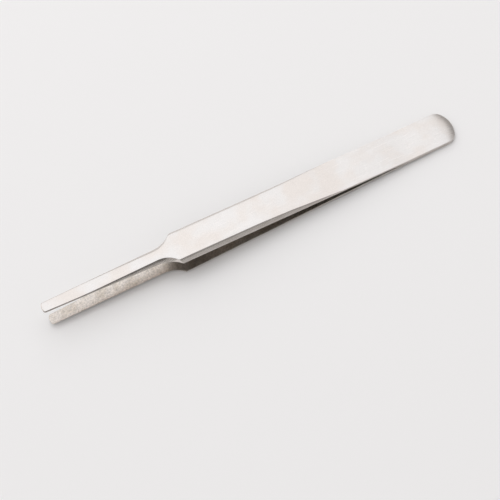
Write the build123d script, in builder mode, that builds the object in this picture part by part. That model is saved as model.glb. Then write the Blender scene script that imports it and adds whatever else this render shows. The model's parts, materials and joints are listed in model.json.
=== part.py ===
from build123d import *
from math import asin, atan2, cos, degrees, radians, sin, tan
import os

# Flat round-tip tweezers: two ground leaves of spring steel, welded face to face at the heel.
# Millimetres. The tweezers lie on the lower leaf, with the tips towards -X, the heel towards
# +X, the width along Y and Z up. A name that ends in _at is a distance along a leaf from the
# ends of the tips.

# Overall sizes
overall_length = 120.0
handle_width = 10.0
tip_opening = 7.25  # between the inner faces of the two tips, at rest
weld_length = 15.0  # joined stretch at the heel
weld_bend_radius = 100.0  # where a leaf turns away from the joined stretch

# Thickness of a leaf: thin at the tips, thick at the finger grip from the shoulder backwards,
# and thinner again in the springy stretch in front of the weld and in the heel
tip_thickness = 0.35
thin_blade_length = 12.0
grip_thickness = 1.1
spring_thickness = 0.64
spring_length = 21.0
flex_setback = 15.0  # from the weld to the line about which a squeezed leaf bends
face_blend_radius = 250.0  # soft turns between the slopes of the outer face

# Outline of a leaf, seen square to its face
tip_width = 3.1
tip_crown_height = 0.36
tip_corner_radius = 0.7
blade_width = 4.75  # at the start of the neck
neck_length = 5.9
shoulder_at = 38.1
heel_crown_height = 2.1
heel_corner_radius = 3.0

# Bevels ground on the outer edges, and the roll-off of the heel
edge_land = 0.15  # square edge left beside the inner face
side_bevel_width = 1.0
blade_bevel_width = 1.2  # on the tip, blade and neck, where the leaf has its full thickness
shoulder_lean = 0.15  # the neck's bevel is almost square at the shoulder
bevel_fade_length = 15.5  # over this stretch the side bevel narrows to nothing
bevel_end_setback = 4.5  # and it ends this far before the line of flexing
heel_roll_length = 5.0
heel_roll_drop = 0.25

UPPER, LOWER = 1, -1

weld_at = overall_length - weld_length
flex_at = weld_at - flex_setback
spring_start_at = weld_at - spring_length
grip_end_at = (shoulder_at + spring_start_at) / 2  # half of the handle's front is full thickness
neck_at = shoulder_at - neck_length
bevel_end_at = flex_at - bevel_end_setback
bevel_full_to_at = bevel_end_at - bevel_fade_length
half_spread = degrees(asin(tip_opening / 2 / weld_at))
tool_margin = 2.0  # how far a cutting profile runs past the metal


def leaf_plane(side, pitch, weld_point):
    """Plane of a leaf's inner face: X along the leaf from the tips, Z out of its outer face."""
    along = Vector(cos(radians(pitch)), 0, -sin(radians(pitch)))
    outward = Vector(sin(radians(pitch)), 0, cos(radians(pitch))) * side
    return Plane(origin=weld_point - along * weld_at, x_dir=along, z_dir=outward)


def side_view(face):
    """Plane seen from the edge of a leaf: X along the leaf, Y out of its outer face."""
    return Plane(origin=face.origin, x_dir=face.x_dir, z_dir=-face.y_dir)


def arm_outline(plane, inset, neck_end_at):
    """Outline of an arm: rounded tip and slim blade, both set in, flared neck and handle sides."""
    tip_half = tip_width / 2 - inset
    tip_share = tip_half / (tip_width / 2)
    corner_at = inset + tip_crown_height * tip_share
    corner_half = tip_half + (blade_width - tip_width) / 2 * corner_at / neck_at
    handle_half = handle_width / 2
    with BuildSketch(plane, mode=Mode.PRIVATE) as outline:
        with BuildLine():
            ThreePointArc((corner_at, -corner_half), (inset, 0), (corner_at, corner_half))
            blade_side = Line((corner_at, corner_half), (neck_at, blade_width / 2 - inset))
            neck = TangentArc(blade_side @ 1, (neck_end_at, handle_half), tangent=blade_side % 1)
            rear = Polyline(neck @ 1, (flex_at, handle_half), (flex_at, 0))
            mirror((blade_side, neck, rear), about=Plane.XZ)
        make_face()
        tip_corners = outline.vertices().group_by(Axis.X)[0]
        fillet(tip_corners, tip_corner_radius * tip_share)
    return outline.sketch


# The rest position: the lower leaf touches the floor with the rear end of its thick stretch
# and with the start of the roll-off of its heel, which is an arc.
unplaced = Vector(0, 0, 0)
level_arm = leaf_plane(LOWER, -half_spread, unplaced)
level_heel = leaf_plane(LOWER, 0, unplaced)
roll_radius = (heel_roll_length**2 + heel_roll_drop**2) / (2 * heel_roll_drop)
roll_at = overall_length - heel_roll_length
front_rest = level_arm.from_local_coords((grip_end_at, 0, grip_thickness))
roll_centre = level_heel.from_local_coords((roll_at, 0, spring_thickness - roll_radius))
reach = roll_centre - front_rest
rest_tilt = degrees(atan2(reach.Z, reach.X) - asin(roll_radius / reach.length))

# The place at rest: the floor is at Z = 0, and the tips and the heel are as far from X = 0.
tilted_arm = leaf_plane(LOWER, rest_tilt - half_spread, unplaced)
tilted_heel = leaf_plane(LOWER, rest_tilt, unplaced)
tilted_top = leaf_plane(UPPER, rest_tilt, unplaced)
tips_end = tilted_arm.from_local_coords((0, 0, tip_thickness)).X
heel_end = tilted_top.from_local_coords((overall_length, 0, spring_thickness - heel_roll_drop)).X
floor_height = tilted_heel.from_local_coords((roll_at, 0, spring_thickness - roll_radius)).Z - roll_radius
weld_point = Vector(-(tips_end + heel_end) / 2, 0, -floor_height)


def build_arm(name, side):
    """The moving stretch of one leaf, from its tip to the line where it flexes."""
    face = leaf_plane(side, rest_tilt + side * half_spread, weld_point)

    # The rim of the bevel round the tip, blade and neck, at the top of the square land, and its
    # crest, where the leaf has its full thickness. The bevel runs straight from one to the other.
    rim = arm_outline(face.offset(edge_land), 0, shoulder_at)
    crest = arm_outline(face.offset(grip_thickness), blade_bevel_width, shoulder_at - shoulder_lean)

    # Side bevel: a section just outside the ground face, doubled past both of its edges.
    section_plane = Plane(
        origin=face.from_local_coords((bevel_full_to_at, 0, 0)), x_dir=face.y_dir, z_dir=face.x_dir
    )
    with BuildSketch(section_plane, mode=Mode.PRIVATE) as side_bevel:
        with BuildLine():
            low = Vector(handle_width / 2, edge_land)
            high = Vector(handle_width / 2 - side_bevel_width, grip_thickness)
            ground = Line(low * 2 - high, high * 2 - low)
            Polyline(ground @ 1, ((ground @ 0).X, (ground @ 1).Y), ground @ 0)
        make_face()
        mirror(about=Plane.YZ)

    with BuildPart() as arm:
        extrude(rim, amount=-edge_land)
        loft((rim, crest), ruled=True)

        with BuildSketch(side_view(face)):
            with BuildLine():
                outer_line = FilletPolyline(
                    (0, tip_thickness),
                    (thin_blade_length, tip_thickness),
                    (shoulder_at, grip_thickness),
                    (grip_end_at, grip_thickness),
                    (spring_start_at, spring_thickness),
                    (flex_at, spring_thickness),
                    radius=face_blend_radius,
                )
                Polyline(outer_line @ 1, (flex_at, 0), (0, 0), outer_line @ 0)
            make_face()
        extrude(amount=handle_width, both=True, mode=Mode.INTERSECT)

        extrude(side_bevel.sketch, amount=-bevel_full_to_at, mode=Mode.SUBTRACT)
        run_out = Vector(bevel_end_at - bevel_full_to_at, 0, spring_thickness - edge_land)
        run_out_direction = face.x_dir * run_out.X + face.z_dir * run_out.Z
        extrude(
            side_bevel.sketch,
            amount=run_out.length + tool_margin,
            dir=run_out_direction.normalized(),
            mode=Mode.SUBTRACT,
        )
    arm.part.label = name
    export_step(arm.part, f"parts/{name}.step")
    return arm.part


def build_heel(name, side):
    """The fixed stretch of one leaf, from the line where it flexes to the rounded heel."""
    arm_face = leaf_plane(side, rest_tilt + side * half_spread, weld_point)
    face = leaf_plane(side, rest_tilt, weld_point)
    inner_cut = face.to_local_coords(arm_face.from_local_coords((flex_at, 0, 0)))
    outer_cut = face.to_local_coords(arm_face.from_local_coords((flex_at, 0, spring_thickness)))
    outer_bend_at = weld_at + spring_thickness * tan(radians(half_spread / 2))

    with BuildPart() as heel:
        with BuildSketch(side_view(face)):
            with BuildLine():
                inner_line = FilletPolyline(
                    (inner_cut.X, inner_cut.Z),
                    (weld_at, 0),
                    (overall_length, 0),
                    radius=weld_bend_radius,
                )
                outer_line = FilletPolyline(
                    (outer_cut.X, outer_cut.Z),
                    (outer_bend_at, spring_thickness),
                    (roll_at, spring_thickness),
                    radius=weld_bend_radius - spring_thickness,
                )
                roll_end = (overall_length, spring_thickness - heel_roll_drop)
                roll = TangentArc(outer_line @ 1, roll_end, tangent=outer_line % 1)
                Line(roll @ 1, inner_line @ 1)
                Line(outer_line @ 0, inner_line @ 0)
            make_face()
        extrude(amount=handle_width, both=True)

        with BuildSketch(face) as heel_outline:
            with BuildLine():
                handle_half = handle_width / 2
                corner_at = overall_length - heel_crown_height
                front_end = flex_at - tool_margin
                left, right = handle_half, -handle_half
                crown = ThreePointArc((corner_at, left), (overall_length, 0), (corner_at, right))
                Polyline(crown @ 1, (front_end, right), (front_end, left), crown @ 0)
            make_face()
            heel_corners = heel_outline.vertices().group_by(Axis.X)[-1]
            fillet(heel_corners, heel_corner_radius)
        extrude(amount=tool_margin, both=True, mode=Mode.INTERSECT)
    heel.part.label = name
    export_step(heel.part, f"parts/{name}.step")
    return heel.part


os.makedirs("parts", exist_ok=True)
leaves = [
    build_arm("upper_arm", UPPER),
    build_arm("lower_arm", LOWER),
    build_heel("upper_heel", UPPER),
    build_heel("lower_heel", LOWER),
]
for leaf in leaves:
    print(leaf.label, "volume", round(leaf.volume, 2), "mm3")
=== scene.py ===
"""Flat round-tip handling tweezers in satin steel, lying on a pale studio floor.

Each ground leaf of spring steel is one closed mesh, made of sections along its length: a flat
inner face, a square land, a ground bevel and a flat outer face. The mesh bends between the heel
and its arm. Lengths are metres, written as millimetres times MM. A name that ends in _at is a
distance along a leaf from the ends of the tips. Across is the way out from a leaf's middle line,
and height is the way out from its inner face.
"""

import json
import logging
import math
from dataclasses import dataclass, field
from enum import Enum

import bmesh
import bpy
from mathutils import Matrix, Vector


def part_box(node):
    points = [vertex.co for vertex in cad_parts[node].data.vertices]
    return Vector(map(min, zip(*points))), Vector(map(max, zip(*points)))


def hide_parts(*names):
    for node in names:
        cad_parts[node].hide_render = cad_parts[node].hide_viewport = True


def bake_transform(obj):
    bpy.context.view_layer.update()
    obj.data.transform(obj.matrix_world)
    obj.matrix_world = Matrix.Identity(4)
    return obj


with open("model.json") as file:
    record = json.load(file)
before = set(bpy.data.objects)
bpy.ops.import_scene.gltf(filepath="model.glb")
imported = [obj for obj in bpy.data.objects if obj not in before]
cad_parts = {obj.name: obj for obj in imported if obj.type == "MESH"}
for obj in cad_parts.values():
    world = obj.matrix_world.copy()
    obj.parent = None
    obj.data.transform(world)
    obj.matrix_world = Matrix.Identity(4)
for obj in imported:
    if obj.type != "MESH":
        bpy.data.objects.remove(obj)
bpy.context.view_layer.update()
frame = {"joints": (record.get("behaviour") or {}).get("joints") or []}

MM = 0.001
ACROSS = Vector((0.0, 1.0, 0.0))

log = logging.getLogger("tweezers")

Plan = tuple[float, float]
Span = tuple[float, float]
Colour = tuple[float, float, float]

# Stretches along X over which painted shade darkens the inner faces behind the blade, where the two
# leaves shade each other, and lightens again along the handle
PAINTED_SHADE_SHOULDER_REACH = (-27.5 * MM, -23.5 * MM)
PAINTED_SHADE_HANDLE_REACH = (-20.0 * MM, -10.0 * MM)

# Detail of the noise under each effect, and the values that most of the noise lies between
LINE_DETAIL = 4.0
GRAIN_DETAIL = 3.0
CLOUD_DETAIL = 2.0
FINE_NOISE_ROUGHNESS = 0.6
NOISE_SPAN = (0.3, 0.7)
CLOUD_SPAN = (0.35, 0.65)


class Side(Enum):
    """Which leaf a piece belongs to. The value is the way its outer face points."""

    UPPER = 1
    LOWER = -1

    def part(self, stretch: str) -> str:
        """Name of this leaf's stretch, such as upper_arm."""
        return f"{self.name.lower()}_{stretch}"


class Surface(Enum):
    """The differently finished surfaces of a leaf, by material slot."""

    OUTER = 0
    EDGE = 1
    INNER = 2


@dataclass(frozen=True)
class Weld:
    """Where the leaves are welded face to face, and how far each spreads from there.

    Args:
        point: Front end of the weld, between the inner faces.
        along: Unit vector from the tips to the heel, in the plane of the weld.
        up: Unit vector out of the upper leaf at the heel.
        half_spread: Angle between an arm and the plane of the weld, in radians.
    """

    point: Vector
    along: Vector
    up: Vector
    half_spread: float

    @classmethod
    def from_hinges(cls, joints: list[dict], flex_setback: float) -> "Weld":
        """Work the weld out from the lines about which the two leaves bend.

        Args:
            joints: The joints of the frame, which hold a hinge for each arm.
            flex_setback: Distance along a leaf from the line of bending to the weld.

        Returns:
            The weld, in the frame's own axes.
        """
        hinges = {joint["child"]: Vector(joint["pos_m"]) for joint in joints}
        upper, lower = hinges[Side.UPPER.part("arm")], hinges[Side.LOWER.part("arm")]
        gap = upper - lower
        up = gap.normalized()
        half_spread = math.asin(gap.length / 2 / flex_setback)
        along = ACROSS.cross(up)
        point = (upper + lower) / 2 + along * flex_setback * math.cos(half_spread)
        return cls(point, along, up, half_spread)


@dataclass(frozen=True)
class ThicknessProfile:
    """Thickness along a leaf: straight slopes with soft turns between them.

    Args:
        corners: Distance and thickness of each corner, from the tips to the heel.
        turn_radius: Radius of the soft turn at each corner.
    """

    corners: tuple[Plan, ...]
    turn_radius: float

    def at(self, distance: float) -> float:
        """Thickness of the leaf at one place.

        Args:
            distance: Distance along the leaf from the ends of the tips.

        Returns:
            The thickness, between the inner face and the outer face.
        """
        slopes = [
            (after[1] - before[1]) / (after[0] - before[0])
            for before, after in zip(self.corners, self.corners[1:])
        ]
        for corner, before, after in zip(self.corners[1:], slopes, slopes[1:]):
            reach = self.turn_radius * abs(after - before) / 2
            past = distance - corner[0]
            if past < -reach:
                return corner[1] + before * past
            if past < reach:
                return corner[1] + before * past + (after - before) * (past + reach) ** 2 / (4 * reach)
        return self.corners[-1][1] + slopes[-1] * (distance - self.corners[-1][0])


@dataclass(frozen=True)
class Station:
    """One cross-section of half a leaf.

    Args:
        rim: Plan position of the square edge, as distance along and across.
        crest: Plan position of the bevel's upper edge, the same as the rim where there is none.
        inward: Unit plan vector from the rim towards the crest.
        land: Height of the square edge beside the inner face.
        top: Height of the outer face at the crest.
        face_way: Unit plan vector from the rim and the crest into the flat faces.
    """

    rim: Plan
    crest: Plan
    inward: Plan
    land: float
    top: float
    face_way: Plan


def arc_points(centre: Plan, radius: float, start: float, end: float, steps: int) -> list[Plan]:
    """Points on an arc in plan.

    Args:
        centre: Centre of the arc.
        radius: Radius of the arc.
        start: First angle in radians, counted from the direction of the heel.
        end: Last angle in radians.
        steps: Number of spans between the points.

    Returns:
        The points, with the first and the last angle among them.
    """
    angles = [start + (end - start) * step / steps for step in range(steps + 1)]
    return [(centre[0] + radius * math.cos(a), centre[1] + radius * math.sin(a)) for a in angles]


def spaced(start: float, end: float, spacing: float) -> list[float]:
    """Evenly spaced values from start to end, no further apart than the spacing."""
    steps = max(1, math.ceil(abs(end - start) / spacing))
    return [start + (end - start) * step / steps for step in range(steps + 1)]


@dataclass
class Leaf:
    """One ground leaf of spring steel, from its tip to the heel."""

    side: Side
    weld: Weld
    width: float
    length: float = 120.0 * MM
    weld_length: float = 15.0 * MM
    flex_setback: float = 15.0 * MM
    weld_bend_radius: float = 100.0 * MM

    tip_thickness: float = 0.35 * MM
    thin_blade_length: float = 12.0 * MM
    grip_thickness: float = 1.1 * MM
    spring_thickness: float = 0.64 * MM
    spring_length: float = 21.0 * MM
    face_turn_radius: float = 250.0 * MM

    tip_width: float = 3.1 * MM
    tip_crown_height: float = 0.36 * MM
    tip_corner_radius: float = 0.7 * MM
    blade_width: float = 4.75 * MM
    neck_length: float = 5.9 * MM
    shoulder_at: float = 38.1 * MM
    heel_crown_height: float = 2.1 * MM
    heel_corner_radius: float = 3.0 * MM

    edge_land: float = 0.15 * MM
    side_bevel_width: float = 1.0 * MM
    blade_bevel_width: float = 1.2 * MM
    shoulder_lean: float = 0.15 * MM
    bevel_fade_length: float = 15.5 * MM
    bevel_end_setback: float = 4.5 * MM
    bevel_bulge: float = 0.045
    edge_radius: float = 0.05 * MM
    crest_radius: float = 0.14 * MM
    face_inset: float = 0.15 * MM
    heel_roll_length: float = 5.0 * MM
    heel_roll_drop: float = 0.25 * MM
    heel_dome_width: float = 2.6 * MM
    heel_dome_drop: float = 0.22 * MM

    flex_reach: float = 13.0 * MM
    mitre_reach: float = 2.0 * MM

    station_spacing: float = 1.0 * MM
    mitre_spacing: float = 0.25 * MM
    tip_arc_steps: int = 8
    neck_steps: int = 60
    heel_arc_steps: int = 14
    face_columns: int = 6
    corner_steps: int = 4
    bevel_foot_steps: int = 3
    bevel_steps: int = 6
    crest_passes: int = 5
    blunt_pitch: float = math.radians(45.0)
    least_depth: float = 0.0001 * MM
    merge_distance: float = 0.0004 * MM
    sliver_size: float = 0.0002 * MM

    profile: ThicknessProfile = field(init=False)

    def __post_init__(self) -> None:
        """Work out the places that follow from the sizes."""
        self.weld_at = self.length - self.weld_length
        self.flex_at = self.weld_at - self.flex_setback
        self.neck_at = self.shoulder_at - self.neck_length
        spring_at = self.weld_at - self.spring_length
        grip_end_at = (self.shoulder_at + spring_at) / 2
        self.bevel_end_at = self.flex_at - self.bevel_end_setback
        self.bevel_full_to_at = self.bevel_end_at - self.bevel_fade_length
        self.taper = math.atan((self.blade_width - self.tip_width) / 2 / self.neck_at)
        self.profile = ThicknessProfile(
            (
                (0.0, self.tip_thickness),
                (self.thin_blade_length, self.tip_thickness),
                (self.shoulder_at, self.grip_thickness),
                (grip_end_at, self.grip_thickness),
                (spring_at, self.spring_thickness),
                (self.length, self.spring_thickness),
            ),
            self.face_turn_radius,
        )

    def build(self) -> bpy.types.Object:
        """Make the leaf's mesh and hide the frame's arm and heel that it replaces.

        Returns:
            The leaf, as one object whose shape bends between the heel and its arm.
        """
        mesh = self.skin([self.ring(station) for station in self.stations()])
        piece = bpy.data.objects.new(self.side.part("leaf"), mesh)
        bpy.context.scene.collection.objects.link(piece)
        self.side.part("arm")
        self.place(self.flex_at + self.flex_reach, 0.0, 0.0)
        self.place(self.flex_at - self.flex_reach, 0.0, 0.0)
        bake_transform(piece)
        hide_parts(self.side.part("arm"), self.side.part("heel"))
        return piece

    def place(self, distance: float, across: float, height: float) -> Vector:
        """Position in the frame of a point of the leaf.

        Args:
            distance: Distance along the leaf from the ends of the tips.
            across: Distance from the leaf's middle line.
            height: Distance out from the inner face.

        Returns:
            The point, in the frame's own axes.
        """
        weld, outward = self.weld, self.weld.up * self.side.value
        reach = self.weld_bend_radius * math.tan(weld.half_spread / 2)
        past = distance - self.weld_at
        angle = weld.half_spread * min(1.0, max(0.0, (reach - past) / (2 * reach)))
        along_here = weld.along * math.cos(angle) - outward * math.sin(angle)
        outward_here = outward * math.cos(angle) + weld.along * math.sin(angle)
        bend_centre = weld.point + weld.along * reach + outward * self.weld_bend_radius
        spine = bend_centre - outward_here * self.weld_bend_radius
        spine += along_here * (max(past, reach) + min(past, -reach))
        return spine + outward_here * height + ACROSS * across

    def stations(self) -> list[Station]:
        """Cross-sections of half a leaf, from the middle of the tip to the middle of the heel."""
        front = self.tip_stations() + self.blade_stations()
        return front + self.side_stations() + self.heel_stations()

    def blade_half_width(self, distance: float) -> float:
        """Half the width of the blade in front of the neck."""
        return self.tip_width / 2 + math.tan(self.taper) * distance

    def ground_station(self, rim: Plan, inward: Plan) -> Station:
        """Section where the blade's steep bevel runs along the rim.

        Args:
            rim: Plan position of the rim.
            inward: Unit plan vector into the steel.

        Returns:
            The section, with its crest where the bevel meets the outer face.
        """
        width = self.blade_bevel_width
        full_crest = (rim[0] + inward[0] * width, rim[1] + inward[1] * width)
        return self.joined_station(rim, self.crest_towards(rim, full_crest), self.edge_land, inward)

    def crest_towards(self, rim: Plan, full_crest: Plan) -> Plan:
        """Plan position where a bevel meets the outer face.

        Args:
            rim: Plan position of the bevel's lower edge.
            full_crest: Plan position of its upper edge if the leaf had its full thickness there.

        Returns:
            The point between the two at the thickness that the leaf has there.
        """
        crest = rim
        for _ in range(self.crest_passes):
            share = (self.profile.at(crest[0]) - self.edge_land) / (self.grip_thickness - self.edge_land)
            crest = (
                rim[0] + (full_crest[0] - rim[0]) * share,
                rim[1] + (full_crest[1] - rim[1]) * share,
            )
        return crest

    def tip_stations(self) -> list[Station]:
        """Sections round half of the tip: its crowned end and its rounded corner.

        Returns:
            The sections, from the middle of the end to the blade's straight side.
        """
        crown, corner = self.tip_crown_height, self.tip_corner_radius
        half = self.blade_half_width(crown)
        crown_radius = (crown**2 + half**2) / (2 * crown)
        taper = self.taper
        side_normal = (-math.sin(taper), math.cos(taper))
        reach = (self.blade_half_width(0.0) * math.cos(taper)) - corner
        offset = crown_radius * side_normal[0]
        swing = math.sqrt((crown_radius - corner) ** 2 - (reach - offset) ** 2)
        centre = (
            crown_radius - swing * math.cos(taper) + (reach - offset) * side_normal[0],
            (reach - offset) * side_normal[1] - swing * math.sin(taper),
        )
        meet = math.atan2(centre[1], centre[0] - crown_radius)
        crown_arc = arc_points((crown_radius, 0.0), crown_radius, math.pi, meet, self.tip_arc_steps)
        corner_arc = arc_points(centre, corner, meet, math.pi / 2 + taper, self.tip_arc_steps)
        rims = [(point, (crown_radius, 0.0), crown_radius) for point in crown_arc]
        rims += [(point, centre, corner) for point in corner_arc[1:]]
        return [
            self.ground_station(
                point, ((middle[0] - point[0]) / radius, (middle[1] - point[1]) / radius)
            )
            for point, middle, radius in rims
        ]

    def neck_arc(self, inset: float, end_at: float) -> list[Plan]:
        """Points on the flare of the neck, an arc that leaves the blade's side smoothly.

        Args:
            inset: How far the arc starts inside the blade's own side.
            end_at: Distance along the leaf where the arc meets the handle's side.

        Returns:
            Evenly spaced points, from the blade to the handle.
        """
        start = (self.neck_at, self.blade_width / 2 - inset)
        chord = (end_at - start[0], self.width / 2 - start[1])
        rise = chord[1] * math.cos(self.taper) - chord[0] * math.sin(self.taper)
        radius = (chord[0] ** 2 + chord[1] ** 2) / (2 * rise)
        centre = (start[0] - math.sin(self.taper) * radius, start[1] + math.cos(self.taper) * radius)
        turn = 2 * (math.atan2(chord[1], chord[0]) - self.taper)
        first = self.taper - math.pi / 2
        return arc_points(centre, radius, first, first + turn, self.neck_steps)

    def blade_stations(self) -> list[Station]:
        """Sections of the straight blade and of the flaring neck.

        Returns:
            The sections, from the tip's corner to the shoulder.
        """
        inward = (math.sin(self.taper), -math.cos(self.taper))
        first = self.tip_crown_height + self.tip_corner_radius
        found = [
            self.ground_station((u, self.blade_half_width(u)), inward)
            for u in spaced(first, self.neck_at, self.station_spacing)
        ]
        rims = self.neck_arc(0.0, self.shoulder_at)
        full_crests = self.neck_arc(self.blade_bevel_width, self.shoulder_at - self.shoulder_lean)
        for rim, full_crest in zip(rims[1:], full_crests[1:]):
            crest = self.crest_towards(rim, full_crest)
            if crest[1] > self.side_crest(crest[0])[1]:
                crest = found[-1].crest
            found.append(self.joined_station(rim, crest, self.edge_land))
        return found

    def joined_station(
        self, rim: Plan, crest: Plan, land: float, face_way: Plan = (0.0, -1.0)
    ) -> Station:
        """Section whose bevel runs from a given rim to a given crest.

        Args:
            rim: Plan position of the bevel's lower edge.
            crest: Plan position of its upper edge.
            land: Height of the square edge.
            face_way: Unit plan vector from the rim and the crest into the flat faces.

        Returns:
            The section.
        """
        step = (crest[0] - rim[0], crest[1] - rim[1])
        depth = math.hypot(*step)
        inward = (step[0] / depth, step[1] / depth) if depth > self.least_depth else face_way
        return Station(rim, crest, inward, land, self.profile.at(crest[0]), face_way)

    def side_land(self, distance: float) -> float:
        """Height of the square edge on the handle's straight side, which grows as the bevel fades.

        Args:
            distance: Distance along the leaf.

        Returns:
            The height, above the inner face.
        """
        fade = (distance - self.bevel_full_to_at) / (self.bevel_end_at - self.bevel_full_to_at)
        lift = min(1.0, max(0.0, fade)) * (self.spring_thickness - self.edge_land)
        return self.edge_land + lift

    def side_crest(self, distance: float) -> Plan:
        """Place where the side bevel meets the outer face.

        Args:
            distance: Distance along the leaf.

        Returns:
            The plan position.
        """
        slope = self.side_bevel_width / (self.grip_thickness - self.edge_land)
        depth = max(0.0, self.profile.at(distance) - self.side_land(distance)) * slope
        return (distance, self.width / 2 - depth)

    def side_stations(self) -> list[Station]:
        """Sections of the handle's straight side.

        Returns:
            The sections, from the shoulder to the heel's rounded corner.
        """
        mitre_at = self.mitre_at()
        settled_at = self.shoulder_at + self.mitre_reach
        found = []
        end_at = self.length - self.heel_crown_height - self.heel_corner_radius
        distances = spaced(self.shoulder_at, settled_at, self.mitre_spacing)
        distances += spaced(settled_at, self.bevel_end_at, self.station_spacing)[1:]
        distances += spaced(self.bevel_end_at, end_at, self.station_spacing)[1:]
        for distance in distances[1:]:
            share = max(0.0, 1.0 - (distance - self.shoulder_at) / self.mitre_reach)
            crest = self.side_crest(distance + (mitre_at - self.shoulder_at) * share)
            rim = (distance, self.width / 2)
            found.append(self.joined_station(rim, crest, self.side_land(distance)))
        return found

    def mitre_at(self) -> float:
        """Distance along the leaf where the neck's bevel and the side bevel meet on the outer face."""
        return self.blade_stations()[-1].crest[0]

    def heel_stations(self) -> list[Station]:
        """Sections round half of the heel: its rounded corner and its crowned end.

        Returns:
            The sections, from the handle's straight side to the middle of the end.
        """
        crown, half, corner = self.heel_crown_height, self.width / 2, self.heel_corner_radius
        crown_radius = (crown**2 + half**2) / (2 * crown)
        crown_centre = (self.length - crown_radius, 0.0)
        across = half - corner
        corner_centre = (crown_centre[0] + math.sqrt((crown_radius - corner) ** 2 - across**2), across)
        meet = math.atan2(across, corner_centre[0] - crown_centre[0])
        corner_arc = arc_points(corner_centre, corner, math.pi / 2, meet, self.heel_arc_steps)
        crown_arc = arc_points(crown_centre, crown_radius, meet, 0.0, self.heel_arc_steps)
        rims = [(point, corner_centre, corner) for point in corner_arc]
        rims += [(point, crown_centre, crown_radius) for point in crown_arc[1:]]
        return [
            self.joined_station(
                point,
                point,
                self.spring_thickness,
                ((centre[0] - point[0]) / radius, (centre[1] - point[1]) / radius),
            )
            for point, centre, radius in rims
        ]

    def section(self, station: Station) -> list[tuple[float, float, Surface]]:
        """Rim of one section, from the inner face round to the outer face.

        Args:
            station: The section's measures.

        Returns:
            Inset from the rim, height and surface of each point, with every corner rounded.
        """
        radius, low, high = self.edge_radius, station.land, station.top
        depth = math.hypot(station.crest[0] - station.rim[0], station.crest[1] - station.rim[1])
        pitch = math.atan2(high - low, depth) if depth > radius else self.blunt_pitch
        crest_radius = self.crest_radius if depth > 2 * self.crest_radius else radius
        low_centre = (radius, low + radius * (math.sin(pitch) - 1) / math.cos(pitch))
        crest_inset = (crest_radius + math.cos(pitch) * (high - crest_radius - low)) / math.sin(pitch)
        high_centre = (crest_inset, high - crest_radius)
        if depth <= radius or crest_inset < radius:
            low_centre = high_centre = (radius, high - radius)

        def rounding(centre: Plan, size: float, start: float, end: float, steps: int) -> list[Plan]:
            """Points round one corner, by the angle of the surface there above the level."""
            angles = [start + (end - start) * step / steps for step in range(steps + 1)]
            return [(centre[0] - size * math.cos(a), centre[1] + size * math.sin(a)) for a in angles]

        facing = math.pi / 2 - pitch
        inner = rounding((radius, radius), radius, -math.pi / 2, 0.0, self.corner_steps)
        lower = rounding(low_centre, radius, 0.0, facing, self.bevel_foot_steps)
        upper = rounding(high_centre, crest_radius, facing, math.pi / 2, self.corner_steps)
        run = (upper[0][0] - lower[-1][0], upper[0][1] - lower[-1][1])
        sag = self.bevel_bulge * max(0.0, math.hypot(*run) - radius)
        bevel = []
        for step in range(1, self.bevel_steps):
            share = step / self.bevel_steps
            bulge = 4 * sag * share * (1 - share)
            bevel.append(
                (
                    lower[-1][0] + run[0] * share - math.sin(pitch) * bulge,
                    lower[-1][1] + run[1] * share + math.cos(pitch) * bulge,
                )
            )
        return (
            [(*point, Surface.INNER) for point in inner]
            + [(*point, Surface.EDGE) for point in lower + bevel]
            + [(*point, Surface.OUTER) for point in upper]
        )

    def roll_drop(self, distance: float, across: float) -> float:
        """How far the outer face has rolled off towards the end of the heel.

        Args:
            distance: Distance along the leaf.
            across: Distance from the middle line.

        Returns:
            The drop below the flat face.
        """
        roll_at = self.length - self.heel_roll_length
        radius = (self.heel_roll_length**2 + self.heel_roll_drop**2) / (2 * self.heel_roll_drop)
        past = max(0.0, distance - roll_at)
        drop = radius - math.sqrt(radius**2 - past**2)
        crown_radius = (self.heel_crown_height**2 + (self.width / 2) ** 2) / (2 * self.heel_crown_height)
        from_end = crown_radius - math.hypot(distance - self.length + crown_radius, across)
        nearness = max(0.0, 1.0 - from_end / self.heel_dome_width)
        return drop + self.heel_dome_drop * nearness**3 * min(1.0, past / self.heel_roll_length)

    def ring(self, station: Station) -> list[tuple[Vector, Surface]]:
        """Closed loop of one section, right round the leaf.

        Args:
            station: The section's measures.

        Returns:
            Points in the frame, each with the surface that starts at it.
        """
        rim = [
            (
                station.rim[0] + station.inward[0] * inset,
                station.rim[1] + station.inward[1] * inset,
                height,
                surface,
            )
            for inset, height, surface in self.section(station)
        ]
        columns = self.face_columns
        way, inset = station.face_way, self.face_inset
        inner, outer = (
            (edge[0] + way[0] * inset, edge[1] + way[1] * inset) for edge in (station.rim, station.crest)
        )
        half = [(inner[0], inner[1] * step / columns, 0.0, Surface.INNER) for step in range(columns + 1)]
        half += rim
        half += [
            (outer[0], outer[1] * step / columns, station.top, Surface.OUTER)
            for step in range(columns, -1, -1)
        ]
        other = [(u, -v, w, surface) for u, v, w, surface in reversed(half[1:-1])]
        loop = []
        for u, v, w, surface in half + other:
            share = w / station.top
            loop.append((self.place(u, v, w - self.roll_drop(u, v) * share**2), surface))
        return loop

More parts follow.
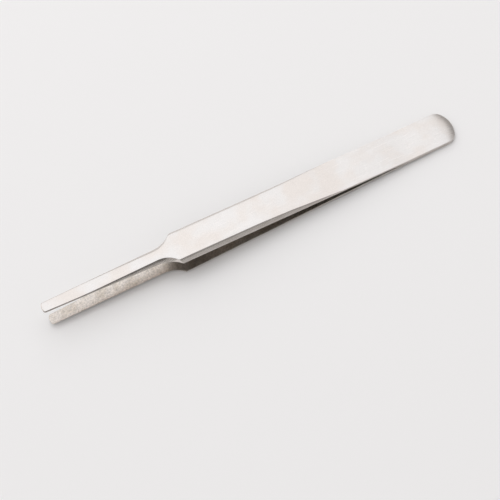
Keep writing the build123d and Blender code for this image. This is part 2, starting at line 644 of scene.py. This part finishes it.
    def skin(self, rings: list[list[tuple[Vector, Surface]]]) -> bpy.types.Mesh:
        """Close a mesh over the sections.

        Args:
            rings: The sections' loops, all with as many points.

        Returns:
            The finished mesh, with each face's material index set by its surface.
        """
        mesh = bpy.data.meshes.new(self.side.part("leaf"))
        work = bmesh.new()
        rows = [[work.verts.new(point) for point, _ in ring] for ring in rings]
        count = len(rings[0])
        for row, after in zip(rows, rows[1:]):
            for index in range(count):
                following = (index + 1) % count
                face = work.faces.new((row[index], row[following], after[following], after[index]))
                surfaces = {rings[0][index][1], rings[0][following][1]}
                face.material_index = (surfaces.pop() if len(surfaces) == 1 else Surface.EDGE).value
                face.smooth = True
        bmesh.ops.remove_doubles(work, verts=work.verts, dist=self.merge_distance)
        bmesh.ops.dissolve_degenerate(work, edges=work.edges, dist=self.sliver_size)
        bmesh.ops.recalc_face_normals(work, faces=work.faces)
        work.to_mesh(mesh)
        work.free()
        return mesh


@dataclass(frozen=True)
class SteelFinish:
    """How one surface of the steel is finished, and how much painted shade it carries.

    Args:
        name: Name of the material.
        light: Colour of the steel's brighter clouds.
        dark: Colour of its darker clouds.
        cloud_size: Width of a cloud.
        line_width: Width of a brushed line.
        line_length: Length of a brushed line.
        grain_size: Width of a matte grain.
        line_depth: Height of the brushed lines in the bump.
        grain_depth: Height of the matte grains in the bump.
        polish: Lowest roughness.
        dullness: Highest roughness.
        grain_shade: How much darker the deepest grains are.
        painted_shoulder_shade: How much darker painted shade makes the steel at the shoulder, where the
            two leaves shade each other, than at the blade.
        painted_handle_shade: How much darker the same painted shade makes it along the handle.
    """

    name: str
    light: Colour
    dark: Colour
    cloud_size: float
    line_width: float
    line_length: float
    grain_size: float
    line_depth: float
    grain_depth: float
    polish: float
    dullness: float
    grain_shade: float
    painted_shoulder_shade: float = 0.0
    painted_handle_shade: float = 0.0


def new_group(name: str, inputs: dict[str, str], outputs: dict[str, str]) -> bpy.types.NodeTree:
    """Start a shader node group with named sockets.

    Args:
        name: Name of the group.
        inputs: Socket type of each input, by name.
        outputs: Socket type of each output, by name.

    Returns:
        The group, with its input and output nodes in place.
    """
    group = bpy.data.node_groups.new(name, "ShaderNodeTree")
    for socket, kind in inputs.items():
        group.interface.new_socket(name=socket, in_out="INPUT", socket_type=kind)
    for socket, kind in outputs.items():
        group.interface.new_socket(name=socket, in_out="OUTPUT", socket_type=kind)
    group.nodes.new("NodeGroupInput").name = "In"
    group.nodes.new("NodeGroupOutput").name = "Out"
    return group


def math_node(tree: bpy.types.NodeTree, operation: str, *values: object) -> bpy.types.NodeSocket:
    """Add a Math node.

    Args:
        tree: The node tree to add it to.
        operation: The node's operation.
        values: A number or a socket for each input.

    Returns:
        The node's output.
    """
    node = tree.nodes.new("ShaderNodeMath")
    node.operation = operation
    for socket, value in zip(node.inputs, values):
        if isinstance(value, bpy.types.NodeSocket):
            tree.links.new(value, socket)
        else:
            socket.default_value = value
    return node.outputs[0]


def noise_node(
    tree: bpy.types.NodeTree, vector: bpy.types.NodeSocket, detail: float, roughness: float = 0.5
) -> bpy.types.NodeSocket:
    """Add a Noise Texture of scale one.

    Args:
        tree: The node tree to add it to.
        vector: The coordinates that it follows.
        detail: The node's detail.
        roughness: The node's roughness.

    Returns:
        The noise value's socket.
    """
    node = tree.nodes.new("ShaderNodeTexNoise")
    node.inputs["Scale"].default_value = 1.0
    node.inputs["Detail"].default_value = detail
    node.inputs["Roughness"].default_value = roughness
    tree.links.new(vector, node.inputs["Vector"])
    return node.outputs[0]


def mix_colours(
    tree: bpy.types.NodeTree, share: bpy.types.NodeSocket, first: object, second: object
) -> bpy.types.NodeSocket:
    """Add a colour Mix node.

    Args:
        tree: The node tree to add it to.
        share: How much of the second colour shows.
        first: The first colour, as a socket or a value.
        second: The second colour, as a socket or a value.

    Returns:
        The mixed colour's socket.
    """
    node = tree.nodes.new("ShaderNodeMix")
    node.data_type = "RGBA"
    tree.links.new(share, node.inputs["Factor"])
    for name, colour in (("A", first), ("B", second)):
        socket = next(s for s in node.inputs if s.name == name and s.type == "RGBA")
        if isinstance(colour, bpy.types.NodeSocket):
            tree.links.new(colour, socket)
        else:
            socket.default_value = (*colour, 1.0)
    return next(s for s in node.outputs if s.type == "RGBA")


def range_node(
    tree: bpy.types.NodeTree,
    value: bpy.types.NodeSocket,
    source: Span,
    target: Span,
    smooth: bool = False,
) -> bpy.types.NodeSocket:
    """Add a Map Range node.

    Args:
        tree: The node tree to add it to.
        value: The value to map.
        source: The range that the value comes in.
        target: The range that it is mapped to.
        smooth: Whether the ends ease in.

    Returns:
        The mapped value's socket.
    """
    node = tree.nodes.new("ShaderNodeMapRange")
    node.interpolation_type = "SMOOTHSTEP" if smooth else "LINEAR"
    tree.links.new(value, node.inputs["Value"])
    for name, number in zip(("From Min", "From Max", "To Min", "To Max"), (*source, *target)):
        node.inputs[name].default_value = number
    return node.outputs[0]


@dataclass
class SteelShop:
    """Makes the steel's finishes from shared effects."""

    groups: dict[str, bpy.types.NodeTree] = field(default_factory=dict)

    def __post_init__(self) -> None:
        """Build the shared effects once."""
        self.groups["brushing"] = self.brushing_group()
        self.groups["clouds"] = self.clouds_group()
        self.groups["grains"] = self.grains_group()

    def brushing_group(self) -> bpy.types.NodeTree:
        """Fine lines along the leaf, left by the grinding belt.

        Returns:
            The group, which gives the lines as a value.
        """
        group = new_group(
            "brushing",
            {"Vector": "NodeSocketVector", "Width": "NodeSocketFloat", "Length": "NodeSocketFloat"},
            {"Lines": "NodeSocketFloat"},
        )
        entry, leave = group.nodes["In"], group.nodes["Out"]
        axes = group.nodes.new("ShaderNodeSeparateXYZ")
        group.links.new(entry.outputs["Vector"], axes.inputs[0])
        stretched = group.nodes.new("ShaderNodeCombineXYZ")
        for axis, size in (("X", "Length"), ("Y", "Width"), ("Z", "Length")):
            scaled = math_node(group, "DIVIDE", axes.outputs[axis], entry.outputs[size])
            group.links.new(scaled, stretched.inputs[axis])
        lines = noise_node(group, stretched.outputs[0], LINE_DETAIL, FINE_NOISE_ROUGHNESS)
        group.links.new(lines, leave.inputs["Lines"])
        return group

    def clouds_group(self) -> bpy.types.NodeTree:
        """Soft clouds of one colour in another.

        Returns:
            The group, which gives the clouded colour and the mask of the clouds.
        """
        group = new_group(
            "clouds",
            {
                "Vector": "NodeSocketVector",
                "Size": "NodeSocketFloat",
                "Light": "NodeSocketColor",
                "Dark": "NodeSocketColor",
            },
            {"Color": "NodeSocketColor", "Mask": "NodeSocketFloat"},
        )
        entry, leave = group.nodes["In"], group.nodes["Out"]
        scale = group.nodes.new("ShaderNodeVectorMath")
        scale.operation = "SCALE"
        group.links.new(entry.outputs["Vector"], scale.inputs[0])
        group.links.new(math_node(group, "DIVIDE", 1.0, entry.outputs["Size"]), scale.inputs["Scale"])
        noise = noise_node(group, scale.outputs[0], CLOUD_DETAIL)
        mask = range_node(group, noise, CLOUD_SPAN, (0.0, 1.0), smooth=True)
        colour = mix_colours(group, mask, entry.outputs["Light"], entry.outputs["Dark"])
        group.links.new(colour, leave.inputs["Color"])
        group.links.new(mask, leave.inputs["Mask"])
        return group

    def grains_group(self) -> bpy.types.NodeTree:
        """Matte grains of a blasted surface.

        Returns:
            The group, which gives the grains as a value.
        """
        group = new_group(
            "grains",
            {"Vector": "NodeSocketVector", "Size": "NodeSocketFloat"},
            {"Grains": "NodeSocketFloat"},
        )
        entry, leave = group.nodes["In"], group.nodes["Out"]
        scale = group.nodes.new("ShaderNodeVectorMath")
        scale.operation = "SCALE"
        group.links.new(entry.outputs["Vector"], scale.inputs[0])
        group.links.new(math_node(group, "DIVIDE", 1.0, entry.outputs["Size"]), scale.inputs["Scale"])
        noise = noise_node(group, scale.outputs[0], GRAIN_DETAIL, FINE_NOISE_ROUGHNESS)
        group.links.new(range_node(group, noise, NOISE_SPAN, (0.0, 1.0)), leave.inputs["Grains"])
        return group

    def finish(self, steel: SteelFinish) -> bpy.types.Material:
        """Make the material of one finish.

        Args:
            steel: The finish's colours and measures.

        Returns:
            The material.
        """
        material = bpy.data.materials.new(steel.name)
        material.use_nodes = True
        tree = material.node_tree
        shader = tree.nodes["Principled BSDF"]
        shader.inputs["Metallic"].default_value = 1.0
        where = tree.nodes.new("ShaderNodeTexCoord").outputs["Object"]

        lines = self.placed(tree, "brushing", where, Width=steel.line_width, Length=steel.line_length)
        light, dark = (*steel.light, 1.0), (*steel.dark, 1.0)
        clouds = self.placed(tree, "clouds", where, Size=steel.cloud_size, Light=light, Dark=dark)
        grains = self.placed(tree, "grains", where, Size=steel.grain_size)

        shade = range_node(tree, grains.outputs["Grains"], (0.0, 1.0), (1.0 - steel.grain_shade, 1.0))
        # Painted shade: darkens the steel by X behind the blade and lightens it again along the handle,
        # where the two leaves shade each other's inner faces
        axes = tree.nodes.new("ShaderNodeSeparateXYZ")
        tree.links.new(where, axes.inputs[0])
        painted_shade_range = (1.0, 1.0 - steel.painted_shoulder_shade)
        shoulder = range_node(tree, axes.outputs["X"], PAINTED_SHADE_SHOULDER_REACH, painted_shade_range, smooth=True)
        painted_shade_easing = (1.0, (1.0 - steel.painted_handle_shade) / (1.0 - steel.painted_shoulder_shade))
        handle = range_node(tree, axes.outputs["X"], PAINTED_SHADE_HANDLE_REACH, painted_shade_easing, smooth=True)
        shade = math_node(tree, "MULTIPLY", shade, math_node(tree, "MULTIPLY", shoulder, handle))
        tint = tree.nodes.new("ShaderNodeVectorMath")
        tint.operation = "SCALE"
        tree.links.new(clouds.outputs["Color"], tint.inputs[0])
        tree.links.new(shade, tint.inputs["Scale"])
        tree.links.new(tint.outputs[0], shader.inputs["Base Color"])

        dulling = (steel.polish, steel.dullness)
        roughness = range_node(tree, lines.outputs["Lines"], NOISE_SPAN, dulling)
        tree.links.new(roughness, shader.inputs["Roughness"])

        line_height = math_node(tree, "MULTIPLY", lines.outputs["Lines"], steel.line_depth)
        grain_height = math_node(tree, "MULTIPLY", grains.outputs["Grains"], steel.grain_depth)
        bump = tree.nodes.new("ShaderNodeBump")
        bump.inputs["Strength"].default_value = 1.0
        bump.inputs["Distance"].default_value = 1.0
        tree.links.new(math_node(tree, "ADD", line_height, grain_height), bump.inputs["Height"])
        tree.links.new(bump.outputs["Normal"], shader.inputs["Normal"])
        return material

    def placed(
        self, tree: bpy.types.NodeTree, name: str, where: bpy.types.NodeSocket, **values: object
    ) -> bpy.types.Node:
        """Place a shared effect in a material.

        Args:
            tree: The material's node tree.
            name: Name of the effect.
            where: Coordinates that the effect follows.
            values: Value of each of its other inputs.

        Returns:
            The group node.
        """
        node = tree.nodes.new("ShaderNodeGroup")
        node.node_tree = self.groups[name]
        tree.links.new(where, node.inputs["Vector"])
        for socket, value in values.items():
            node.inputs[socket].default_value = value
        return node


OUTER_STEEL = SteelFinish(
    name="satin_outer_steel",
    light=(0.88, 0.86, 0.85),
    dark=(0.86, 0.81, 0.775),
    cloud_size=7.0 * MM,
    line_width=0.12 * MM,
    line_length=4.0 * MM,
    grain_size=0.3 * MM,
    line_depth=0.0012 * MM,
    grain_depth=0.0012 * MM,
    polish=0.26,
    dullness=0.36,
    grain_shade=0.1,
)
EDGE_STEEL = SteelFinish(
    name="ground_edge_steel",
    light=(0.78, 0.735, 0.70),
    dark=(0.71, 0.66, 0.62),
    cloud_size=4.0 * MM,
    line_width=0.06 * MM,
    line_length=7.0 * MM,
    grain_size=0.2 * MM,
    line_depth=0.0012 * MM,
    grain_depth=0.0003 * MM,
    polish=0.2,
    dullness=0.3,
    grain_shade=0.05,
)
# The inner faces carry painted shade behind the blade and along the handle, where the two leaves shade
# each other
INNER_STEEL = SteelFinish(
    name="matte_inner_steel",
    light=(0.95, 0.885, 0.83),
    dark=(0.83, 0.755, 0.68),
    cloud_size=2.0 * MM,
    line_width=0.2 * MM,
    line_length=2.0 * MM,
    grain_size=0.5 * MM,
    line_depth=0.002 * MM,
    grain_depth=0.02 * MM,
    polish=0.3,
    dullness=0.4,
    grain_shade=0.4,
    painted_shoulder_shade=0.42,
    painted_handle_shade=0.24,
)


@dataclass(frozen=True)
class Patch:
    """A round patch of the room, lighter or darker than the walls, as the steel mirrors it.

    Args:
        name: What the patch is.
        way: Direction of its middle.
        full_to: Angle from its middle, in degrees, within which it has its full light.
        gone_at: Angle from its middle at which it has faded into the room.
        light: Colour and strength of its light.
    """

    name: str
    way: tuple[float, float, float]
    full_to: float
    gone_at: float
    light: Colour


ROOM_PATCHES = (
    Patch("ceiling", (0.16, 0.38, 0.91), 20.0, 39.0, (1.155, 1.145, 1.145)),
    Patch("dark_heel_side", (0.70, 0.38, 0.60), 9.0, 24.0, (0.3, 0.29, 0.28)),
    Patch("pale_tip_side", (-0.75, 0.65, 0.2), 16.0, 30.0, (1.1, 1.08, 1.07)),
    Patch("camera_side", (-0.09, -0.5, 0.86), 10.0, 27.0, (0.11, 0.105, 0.1)),
)


@dataclass(frozen=True)
class Studio:
    """Floor, light and camera of the picture."""

    weld: Weld
    weld_at: float
    floor_size: float = 4.0
    floor_colour: Colour = (0.888, 0.882, 0.887)
    bounce_colour: Colour = (0.72, 0.71, 0.71)
    wall_light: Colour = (0.5, 0.49, 0.48)
    backdrop_colour: Colour = (0.86, 0.855, 0.86)
    lamp_size: float = 1.6
    lamp_energy: float = 5.5
    lamp_position: tuple[float, float, float] = (0.0, 0.4, 0.65)

    picture_size: float = 500.0
    sensor_width: float = 36.0
    focal_pixels: float = 1089.41
    camera_elevation: float = 1.0762
    camera_yaw: float = 0.2024
    camera_roll: float = 0.2633
    camera_distance: float = 290.02 * MM
    aim_at: float = 60.4 * MM
    aim_pixel: Span = (253.6, 216.91)
    clip_range: Span = (0.01, 10.0)

    def build(self) -> None:
        """Set up the whole picture."""
        self.build_floor()
        self.build_world()
        self.build_lamp()
        self.build_camera()
        bpy.context.scene.view_settings.view_transform = "Standard"

    def camera_axes(self) -> tuple[Vector, Vector, Vector]:
        """Unit vectors of the camera.

        Returns:
            The ways to its right, up and forward.
        """
        along, across, up = self.weld.along, ACROSS, self.weld.up
        level = along * math.sin(self.camera_yaw) + across * math.cos(self.camera_yaw)
        level_right = along * math.cos(self.camera_yaw) - across * math.sin(self.camera_yaw)
        level_up = level * math.sin(self.camera_elevation) + up * math.cos(self.camera_elevation)
        forward = level * math.cos(self.camera_elevation) - up * math.sin(self.camera_elevation)
        tilt_cos, tilt_sin = math.cos(self.camera_roll), math.sin(self.camera_roll)
        right = level_right * tilt_cos - level_up * tilt_sin
        upward = level_right * tilt_sin + level_up * tilt_cos
        return right, upward, forward

    def build_camera(self) -> None:
        """Place the camera where the photograph was taken from."""
        right, upward, forward = self.camera_axes()
        aim = self.weld.point + self.weld.along * (self.aim_at - self.weld_at)
        middle = self.picture_size / 2
        shift_right = (self.aim_pixel[0] - middle) / self.focal_pixels
        shift_up = (middle - self.aim_pixel[1]) / self.focal_pixels
        position = aim - (right * shift_right + upward * shift_up + forward) * self.camera_distance
        data = bpy.data.cameras.new("camera")
        data.sensor_width = self.sensor_width
        data.lens = self.focal_pixels / self.picture_size * self.sensor_width
        data.clip_start, data.clip_end = self.clip_range
        camera = bpy.data.objects.new("camera", data)
        turn = Matrix((right, upward, -forward)).transposed().to_4x4()
        camera.matrix_world = Matrix.Translation(position) @ turn
        bpy.context.scene.collection.objects.link(camera)
        bpy.context.scene.camera = camera

    def build_floor(self) -> None:
        """Lay a plain pale floor under the tweezers."""
        half = self.floor_size / 2
        corners = [(-half, -half, 0.0), (half, -half, 0.0), (half, half, 0.0), (-half, half, 0.0)]
        mesh = bpy.data.meshes.new("floor")
        mesh.from_pydata(corners, [], [(0, 1, 2, 3)])
        floor = bpy.data.objects.new("floor", mesh)
        bpy.context.scene.collection.objects.link(floor)

        material = bpy.data.materials.new("pale_floor")
        material.use_nodes = True
        tree = material.node_tree
        shader = tree.nodes["Principled BSDF"]
        shader.inputs["Roughness"].default_value = 1.0
        shader.inputs["Specular IOR Level"].default_value = 0.0
        path = tree.nodes.new("ShaderNodeLightPath")
        seen = math_node(tree, "MAXIMUM", path.outputs["Is Camera Ray"], path.outputs["Is Glossy Ray"])
        seen = math_node(tree, "MAXIMUM", seen, path.outputs["Is Transmission Ray"])
        colour = mix_colours(tree, seen, self.bounce_colour, self.floor_colour)
        tree.links.new(colour, shader.inputs["Base Color"])
        mesh.materials.append(material)

    def build_world(self) -> None:
        """Surround the tweezers with a plain room and its lighter and darker patches."""
        world = bpy.data.worlds.new("studio")
        bpy.context.scene.world = world
        world.use_nodes = True
        tree = world.node_tree
        background = tree.nodes["Background"]
        direction = tree.nodes.new("ShaderNodeTexCoord").outputs["Generated"]
        light: object = self.wall_light
        for patch in ROOM_PATCHES:
            nearness = tree.nodes.new("ShaderNodeVectorMath")
            nearness.name = patch.name
            nearness.operation = "DOT_PRODUCT"
            tree.links.new(direction, nearness.inputs[0])
            nearness.inputs[1].default_value = Vector(patch.way).normalized()
            reach = (math.cos(math.radians(patch.gone_at)), math.cos(math.radians(patch.full_to)))
            share = range_node(tree, nearness.outputs["Value"], reach, (0.0, 1.0), smooth=True)
            light = mix_colours(tree, share, light, patch.light)

        seen = tree.nodes.new("ShaderNodeLightPath").outputs["Is Camera Ray"]
        tree.links.new(mix_colours(tree, seen, light, self.backdrop_colour), background.inputs["Color"])

    def build_lamp(self) -> None:
        """Hang a soft lamp over the far side of the tweezers."""
        data = bpy.data.lights.new("soft_lamp", "AREA")
        data.shape = "RECTANGLE"
        data.size = data.size_y = self.lamp_size
        data.energy = self.lamp_energy
        lamp = bpy.data.objects.new("soft_lamp", data)
        lamp.visible_glossy = False
        position = Vector(self.lamp_position)
        aim = (-position).to_track_quat("-Z", "Y").to_matrix().to_4x4()
        lamp.matrix_world = Matrix.Translation(position) @ aim
        bpy.context.scene.collection.objects.link(lamp)


def report_piece(piece: bpy.types.Object) -> None:
    """Log a finished piece with its size."""
    triangles = sum(len(polygon.vertices) - 2 for polygon in piece.data.polygons)
    log.info("%s: %d vertices, %d triangles", piece.name, len(piece.data.vertices), triangles)


def main() -> None:
    """Build the tweezers and the picture round them."""
    logging.basicConfig(level=logging.INFO, format="%(name)s: %(message)s")
    low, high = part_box(Side.UPPER.part("heel"))
    weld = Weld.from_hinges(frame["joints"], Leaf.flex_setback)
    shop = SteelShop()
    finishes = {
        Surface.OUTER: shop.finish(OUTER_STEEL),
        Surface.EDGE: shop.finish(EDGE_STEEL),
        Surface.INNER: shop.finish(INNER_STEEL),
    }
    for side in Side:
        leaf = Leaf(side, weld, width=high.y - low.y)
        piece = leaf.build()
        for surface in Surface:
            piece.data.materials.append(finishes[surface])
        report_piece(piece)
    Studio(weld, leaf.weld_at).build()


if __name__ == "__main__":
    main()
